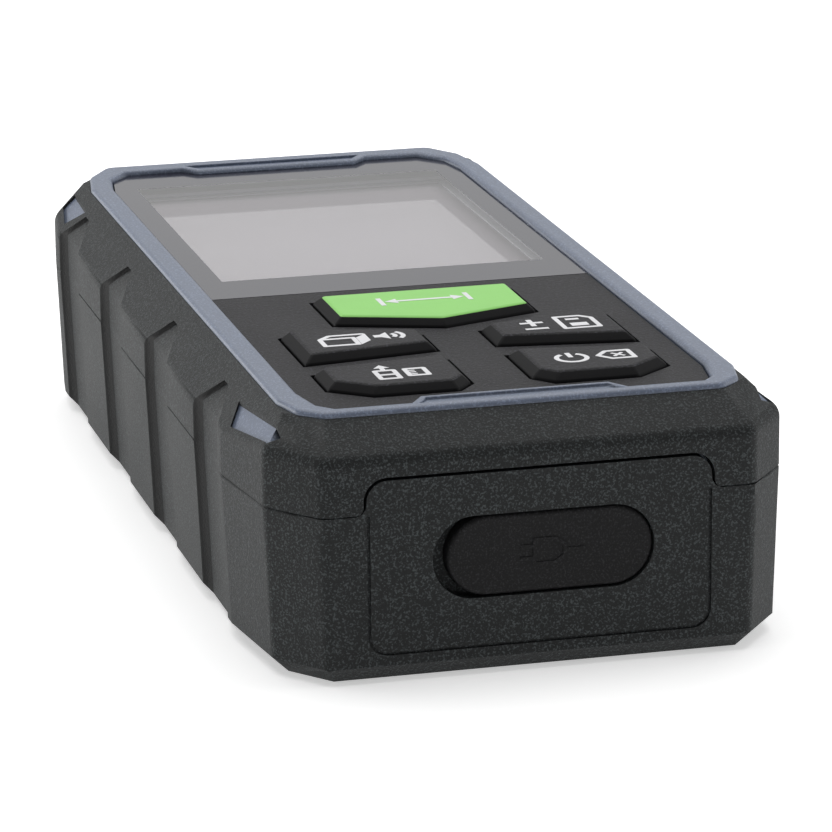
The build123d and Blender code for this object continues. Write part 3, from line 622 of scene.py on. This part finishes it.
def unit_icons(mark):
    """A case with an arrow standing on it, and a ruler."""
    left, low, right, high = -11.9, -45.4, -10.0, -42.4
    mark.path((left, low), (right, low), (right, high), (left, high), (left, low))
    mark.bar((left, low + 1.5), (right, low + 1.5))
    middle_x = (left + right) / 2
    mark.bar((middle_x, high), (middle_x, high + 1.2))
    mark.patch((middle_x, high + 2.1), (middle_x - 0.8, high + 1.0), (middle_x + 0.8, high + 1.0))
    left, low, right, high = -8.9, -44.8, -7.0, -42.3
    mark.path((left, low), (right, low), (right, high), (left, high), (left, low))
    for step in (1, 2, 3):
        mark.bar((left, low + 0.62 * step), (left + 0.9, low + 0.62 * step), 0.3)


def power_icons(mark):
    """The power sign, and an arrow-shaped clearing sign."""
    x, y = 7.9, -42.9
    mark.arc((x, y), 1.5, 120, 300)
    mark.bar((x, y + 0.2), (x, y + 1.9))
    left, y, half = 10.6, -42.8, 1.4
    mark.path(
        (left, y), (left + 1.1, y - half), (left + 3.4, y - half), (left + 3.4, y + half),
        (left + 1.1, y + half), (left, y),
    )
    for rise in (-0.6, 0.6):
        mark.bar((left + 1.5, y - rise), (left + 2.6, y + rise), 0.35)


# ================================================================ port
class METER_OT_port(bpy.types.Operator):
    """Make the rubber cover of the charging socket and its strap"""

    bl_idname = "meter.port"
    bl_label = "Port cover"

    def execute(self, context):
        rubber = grained(
            "port_rubber", (0.0070, 0.0070, 0.0076), 0.70, 0.21 * MM, 0.05 * MM, 0.5, Specular_IOR_Level=0.25
        )
        low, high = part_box("port_cover")
        bm = merged_copy("port_cover")
        proud = 0.1 * MM
        front = [v for v in bm.verts if v.co.y < low.y + WELD]
        bmesh.ops.translate(bm, verts=front, vec=(0, proud, 0))
        round_edges(bm, 0.45 * MM, 4, lambda e: middle(e).y < low.y + 2 * proud)
        add_piece("port_cap", bm, rubber, "port_cover", ["port_cover"])
        mark = Mark(0.35)
        plug_icon(mark)
        centre = Vector(((low.x + high.x) / 2, low.y + 2 * proud, (low.z + high.z) / 2))
        upright = Matrix.Translation(centre) @ Matrix.Rotation(pi / 2, 4, "X")
        add_piece("port_icon", mark.solid(2 * proud / MM, upright), rubber, "port_cover")
        add_strap(rubber)
        return {"FINISHED"}


def add_strap(rubber):
    """The cover's strap, cut across into ten bands along its length."""
    low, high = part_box("port_tether")
    bm = merged_copy("port_tether")
    cuts = 10
    for step in range(1, cuts):
        place = (0, low.y + (high.y - low.y) * step / cuts, 0)
        geometry = bm.verts[:] + bm.edges[:] + bm.faces[:]
        bmesh.ops.bisect_plane(bm, geom=geometry, plane_co=place, plane_no=(0, 1, 0), dist=WELD)
    strap = new_piece("port_strap", bm, rubber)
    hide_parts("port_tether")
    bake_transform(strap)


def plug_icon(mark):
    """A plug with two prongs and its lead."""
    mark.path((-1.6, -1.2), (0.4, -1.2), (1.4, -0.5), (1.4, 0.5), (0.4, 1.2), (-1.6, 1.2), (-1.6, -1.2))
    for side in (-0.6, 0.6):
        mark.bar((-3.0, side), (-1.6, side))
    mark.bar((1.4, 0), (3.4, 0))


# ================================================================ laser end
class METER_OT_optics(bpy.types.Operator):
    """Finish the laser end: its panel, windows and lenses"""

    bl_idname = "meter.optics"
    bl_label = "Optics"

    def execute(self, context):
        gloss = satin("front_gloss", (0.012, 0.012, 0.013), 0.16)
        bm = merged_copy("front_panel")
        round_edges(bm, 0.15 * MM, 2, angle=radians(40))
        add_piece("optics_panel", bm, gloss, "case", ["front_panel"])
        glass = Finish("optic_glass")
        tone = glass.blend(glass.noise(3 * MM), rgba((0.10, 0.05, 0.10)), rgba((0.08, 0.06, 0.14)))
        clear = glass.close(glass.principled(Base_Color=tone, Roughness=0.03, Alpha=0.35, IOR=1.5))
        for node in ("receiver_lens", "collimator_lens", "emitter_window", "receiver_window"):
            finish_node(node, clear)
        finish_node("laser_barrel", satin("barrel_brass", (0.55, 0.38, 0.16), 0.3, metallic=1.0))
        can = satin("can_steel", (0.5, 0.5, 0.52), 0.32, metallic=1.0)
        for node in ("laser_diode", "light_sensor"):
            finish_node(node, can)
        chassis = satin("chassis_plastic", (0.02, 0.02, 0.02), 0.6)
        for node in ("optics_chassis", "lens_retainer"):
            finish_node(node, chassis)
        return {"FINISHED"}


# ================================================================ inside
class METER_OT_inside(bpy.types.Operator):
    """Finish the boards, the cell, the seals, the screws and the label"""

    bl_idname = "meter.inside"
    bl_label = "Inside"

    def execute(self, context):
        finishes = {
            satin("seal_rubber", (0.02, 0.02, 0.02), 0.7): ("case_seal", "battery_pad"),
            satin("gasket_silicone", (0.60, 0.60, 0.66), 0.6): ("lens_gasket",),
            satin("flex_film", (0.30, 0.16, 0.05), 0.35): ("display_flex",),
            satin("silicone", (0.45, 0.46, 0.48), 0.5): ("key_mat",),
            satin("socket_steel", (0.62, 0.62, 0.64), 0.28, metallic=1.0): ("usb_socket", "tact_switches"),
            satin("circuit_board", (0.01, 0.12, 0.05), 0.35): (
                "main_board",
                "charge_board",
                "receiver_board",
            ),
            satin("chip_plastic", (0.015, 0.015, 0.016), 0.45): (
                "board_chips",
                "buzzer",
                "battery_lead_socket",
            ),
            satin("cell_foil", (0.60, 0.61, 0.63), 0.30, metallic=1.0): ("battery",),
            satin("screw_steel", (0.42, 0.42, 0.44), 0.34, metallic=1.0): (
                "case_screws",
                "board_screws",
                "chassis_screws",
            ),
            satin("label_film", (0.55, 0.56, 0.57), 0.42): ("label_plate",),
            satin("light_guide_film", (0.70, 0.71, 0.74), 0.4): ("backlight",),
        }
        for material, nodes in finishes.items():
            for node in nodes:
                finish_node(node, material)
        return {"FINISHED"}


# ================================================================ stage
def softbox(name, place, aim, size, power):
    """A large soft light."""
    lamp = bpy.data.lights.new(name, "AREA")
    lamp.shape = "RECTANGLE"
    lamp.size, lamp.size_y = size
    lamp.energy = power
    made = bpy.data.objects.new(name, lamp)
    made.location = place
    made.rotation_euler = (Vector(place) - Vector(aim)).to_track_quat("Z", "Y").to_euler()
    bpy.context.scene.collection.objects.link(made)


class METER_OT_stage(bpy.types.Operator):
    """Set the floor, the lights and the camera"""

    bl_idname = "meter.stage"
    bl_label = "Stage"

    def execute(self, context):
        settings = context.scene.meter_stage
        scene = context.scene
        scene.view_settings.view_transform = "Standard"
        bm = bmesh.new()
        bmesh.ops.create_grid(bm, x_segments=1, y_segments=1, size=settings.floor_width / 2)
        mesh = bpy.data.meshes.new("floor")
        bm.to_mesh(mesh)
        bm.free()
        floor = bpy.data.objects.new("floor", mesh)
        scene.collection.objects.link(floor)
        white = Finish("floor_white")
        shade = white.blend(white.noise(1.0), rgba((0.93, 0.93, 0.93)), rgba((0.94, 0.94, 0.94)))
        glow = {"Base_Color": shade, "Roughness": 0.9}
        glow.update({"Emission_Color": (1, 1, 1, 1), "Emission_Strength": 0.45})
        mesh.materials.append(white.close(white.principled(**glow)))
        world = bpy.data.worlds.new("studio")
        world.use_nodes = True
        world.node_tree.nodes["Background"].inputs["Color"].default_value = (1, 1, 1, 1)
        world.node_tree.nodes["Background"].inputs["Strength"].default_value = 0.2
        scene.world = world
        aim = (0, 0, 0.012)
        softbox("overhead", (0, 0.3, 0.9), aim, (1.2, 1.2), 8.6)
        softbox("left", (-0.9, 0.75, 0.16), aim, (1.0, 0.32), settings.key_light)
        softbox("right", (0.95, 0.05, 0.35), aim, (0.9, 0.7), 2.9)
        softbox("back", (0.25, 1.3, 0.5), aim, (2.0, 1.0), 4.0)
        camera = bpy.data.objects.new("camera", bpy.data.cameras.new("camera"))
        camera.data.lens = settings.lens
        camera.data.sensor_width = 36
        camera.data.clip_start = 0.01
        camera.location = (-0.11781, -0.47223, 0.14484)
        back = Vector((-0.23891, -0.93316, 0.26859))
        roll = Quaternion((0, 0, 1), radians(-0.556))
        camera.rotation_euler = (back.to_track_quat("Z", "Y") @ roll).to_euler()
        scene.collection.objects.link(camera)
        scene.camera = camera
        return {"FINISHED"}


# ================================================================ panel and registration
OPERATORS = [
    METER_OT_case, METER_OT_face, METER_OT_keys, METER_OT_port, METER_OT_optics, METER_OT_inside,
    METER_OT_stage,
]


class METER_PT_sidebar(bpy.types.Panel):
    """The meter's pieces and settings"""

    bl_idname = "METER_PT_sidebar"
    bl_label = "Laser distance meter"
    bl_space_type = "VIEW_3D"
    bl_region_type = "UI"
    bl_category = "Meter"

    def draw(self, context):
        for group in SETTINGS:
            held = getattr(context.scene, group)
            for name in held.bl_rna.properties.keys()[2:]:
                self.layout.prop(held, name)
        for operator in OPERATORS:
            self.layout.operator(operator.bl_idname)


SETTINGS = {"meter_case": CaseSettings, "meter_face": FaceSettings, "meter_stage": StageSettings}


def register():
    """Registers the settings, the operators and the panel."""
    for name, group in SETTINGS.items():
        bpy.utils.register_class(group)
        setattr(bpy.types.Scene, name, PointerProperty(type=group))
    for operator in OPERATORS:
        bpy.utils.register_class(operator)
    bpy.utils.register_class(METER_PT_sidebar)


def unregister():
    """Takes back what register added."""
    bpy.utils.unregister_class(METER_PT_sidebar)
    for operator in reversed(OPERATORS):
        bpy.utils.unregister_class(operator)
    for name, group in reversed(SETTINGS.items()):
        delattr(bpy.types.Scene, name)
        bpy.utils.unregister_class(group)


def main():
    """Builds every piece in order."""
    register()
    for operator in OPERATORS:
        group, name = operator.bl_idname.split(".")
        getattr(getattr(bpy.ops, group), name)()


if __name__ == "__main__":
    main()
